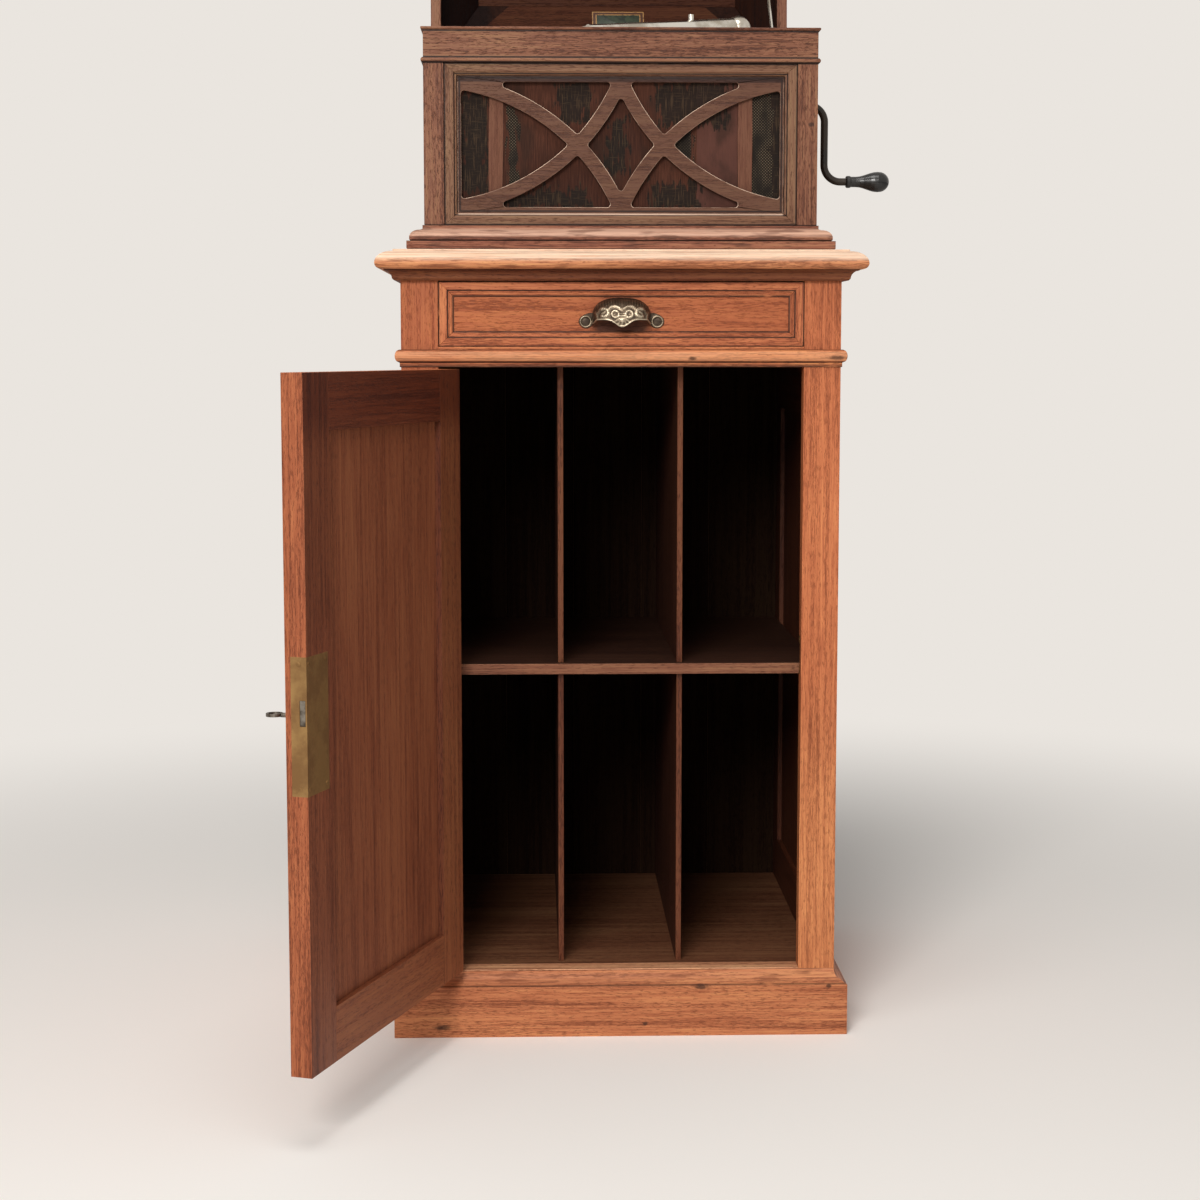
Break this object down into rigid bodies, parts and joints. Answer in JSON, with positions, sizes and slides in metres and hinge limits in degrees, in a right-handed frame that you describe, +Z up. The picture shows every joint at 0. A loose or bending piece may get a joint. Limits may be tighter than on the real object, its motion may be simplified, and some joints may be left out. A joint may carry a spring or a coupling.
{
  "type": "table gramophone on a record cabinet",
  "caption": "Oak record cabinet with an open door, drawer and shelves, with a wind-up table gramophone standing on it, its hinged lid raised.",
  "frame": {"origin": "on the floor, at the middle of the cabinet's width, in the plane of its front", "axes": "+X to the right seen from the front, +Y from the front to the back, +Z up"},
  "size_m": [0.6959, 0.9338, 1.5595],
  "materials": {
    "cabinet_oak": "quartered oak, stained orange brown, satin",
    "case_oak": "oak, stained dark red brown, worn satin",
    "inner_oak": "plain oak, oiled, matte",
    "batten_wood": "bare wood, dusty",
    "horn_wood": "bare pine, matte",
    "grille_cloth": "woven cloth, matte",
    "felt": "green felt",
    "brass": "dull, aged",
    "pull_bronze": "dark antique bronze, bright on its edges",
    "nickel": "nickel plate, polished",
    "steel": "plain steel",
    "iron": "black enamelled iron",
    "black_metal": "black enamel",
    "black_wood": "black lacquer"
  },
  "bodies": {
    "cabinet": {"plinth": "cabinet_oak", "side_left": "cabinet_oak", "side_right": "cabinet_oak", "front_stiles": "cabinet_oak", "front_rails": "cabinet_oak", "waist_moulding": "cabinet_oak", "bottom_board": "inner_oak", "shelf": "inner_oak", "dividers": "inner_oak", "back_boards": "inner_oak", "dust_board": "inner_oak", "drawer_runners": "inner_oak", "top_slab": "cabinet_oak", "cove_moulding": "cabinet_oak", "door_hinge_fixed": "brass", "strike_plate": "brass", "gramophone_base": "case_oak", "case_posts": "case_oak", "case_walls": "case_oak", "case_band": "case_oak", "grille_frame": "case_oak", "grille_fret": "case_oak", "grille_battens": "batten_wood", "grille_cloth": "grille_cloth", "motor_board": "case_oak", "horn": "horn_wood", "tonearm_base": "nickel", "lid_hinge_fixed": "brass", "motor_frame": "iron", "crank_bush": "brass"},
    "drawer": {"drawer_front": "cabinet_oak", "drawer_border": "cabinet_oak", "drawer_box": "inner_oak", "drawer_pull": "pull_bronze", "pull_screws": "brass"},
    "door": {"door_stiles": "cabinet_oak", "door_rails": "cabinet_oak", "door_panel": "cabinet_oak", "door_moulding": "cabinet_oak", "door_hinge_moving": "brass", "door_lock": "brass", "key_escutcheon": "brass"},
    "bolt": {"lock_bolt": "brass"},
    "key": {"door_key": "steel"},
    "lid": {"lid_frame": "case_oak", "lid_slopes": "case_oak", "lid_panel": "case_oak", "lid_hinge_moving": "brass"},
    "stay": {"lid_stay": "nickel"},
    "turntable": {"turntable": "nickel", "turntable_felt": "felt", "spindle": "steel"},
    "barrel": {"spring_barrel": "brass"},
    "governor": {"governor": "brass"},
    "crank": {"crank_arm": "black_metal"},
    "grip": {"crank_grip": "black_wood"},
    "tonearm": {"tonearm": "nickel"},
    "soundbox": {"soundbox": "nickel"},
    "brake": {"brake_lever": "nickel"},
    "speed": {"speed_knob": "nickel"}
  },
  "joints": [
    {"name": "drawer_slide", "type": "slide", "parent": "cabinet", "child": "drawer", "axis": [0, -1, 0], "range_m": [0, 0.34]},
    {"name": "door_hinge", "type": "hinge", "parent": "cabinet", "child": "door", "pos_m": [-0.20725, -0.0023, 0.42705], "axis": [0, 0, 1], "range_deg": [-65, 109.5]},
    {"name": "bolt_slide", "type": "slide", "parent": "door", "child": "bolt", "axis": [-0.3338, -0.9426, 0], "range_m": [0, 0.008]},
    {"name": "key_turn", "type": "hinge", "parent": "door", "child": "key", "pos_m": [-0.33485, -0.36952, 0.438], "axis": [0.9426, -0.3338, 0], "range_deg": [0, 180]},
    {"name": "lid_hinge", "type": "hinge", "parent": "cabinet", "child": "lid", "pos_m": [0, 0.4158, 1.15865], "axis": [1, 0, 0], "range_deg": [0, 94]},
    {"name": "stay_turn", "type": "hinge", "parent": "lid", "child": "stay", "pos_m": [0.2045, 0.43784, 1.28743], "axis": [1, 0, 0], "range_deg": [-47, 0]},
    {"name": "turntable_spin", "type": "hinge", "parent": "cabinet", "child": "turntable", "pos_m": [-0.035, 0.178, 1.108], "axis": [0, 0, 1], "continuous": true},
    {"name": "barrel_spin", "type": "hinge", "parent": "cabinet", "child": "barrel", "pos_m": [0.019, 0.178, 1.058], "axis": [0, 0, 1], "continuous": true},
    {"name": "governor_spin", "type": "hinge", "parent": "cabinet", "child": "governor", "pos_m": [-0.065, 0.178, 1.058], "axis": [0, 0, 1], "continuous": true},
    {"name": "crank_spin", "type": "hinge", "parent": "cabinet", "child": "crank", "pos_m": [0.2235, 0.178, 1.089], "axis": [1, 0, 0], "continuous": true},
    {"name": "grip_spin", "type": "hinge", "parent": "crank", "child": "grip", "pos_m": [0.301, 0.178, 0.9983], "axis": [1, 0, 0], "continuous": true},
    {"name": "tonearm_swing", "type": "hinge", "parent": "cabinet", "child": "tonearm", "pos_m": [0.16, 0.335, 1.108], "axis": [0, 0, 1], "range_deg": [-14, 58]},
    {"name": "soundbox_turn", "type": "hinge", "parent": "tonearm", "child": "soundbox", "pos_m": [0.16, 0.335, 1.2], "axis": [0.8796, 0.4677, 0.0872], "range_deg": [0, 90]},
    {"name": "brake_turn", "type": "hinge", "parent": "cabinet", "child": "brake", "pos_m": [0.112, 0.066, 1.108], "axis": [0, 0, 1], "range_deg": [0, 20]},
    {"name": "speed_turn", "type": "hinge", "parent": "cabinet", "child": "speed", "pos_m": [-0.165, 0.058, 1.108], "axis": [0, 0, 1], "range_deg": [-120, 120]}
  ],
  "couplings": [
    {"joint": "key_turn", "follows": "bolt_slide", "rad_per_m": 392.69},
    {"joint": "stay_turn", "follows": "lid_hinge", "ratio": -0.5},
    {"joint": "barrel_spin", "follows": "turntable_spin", "ratio": -0.2},
    {"joint": "governor_spin", "follows": "turntable_spin", "ratio": -4}
  ]
}
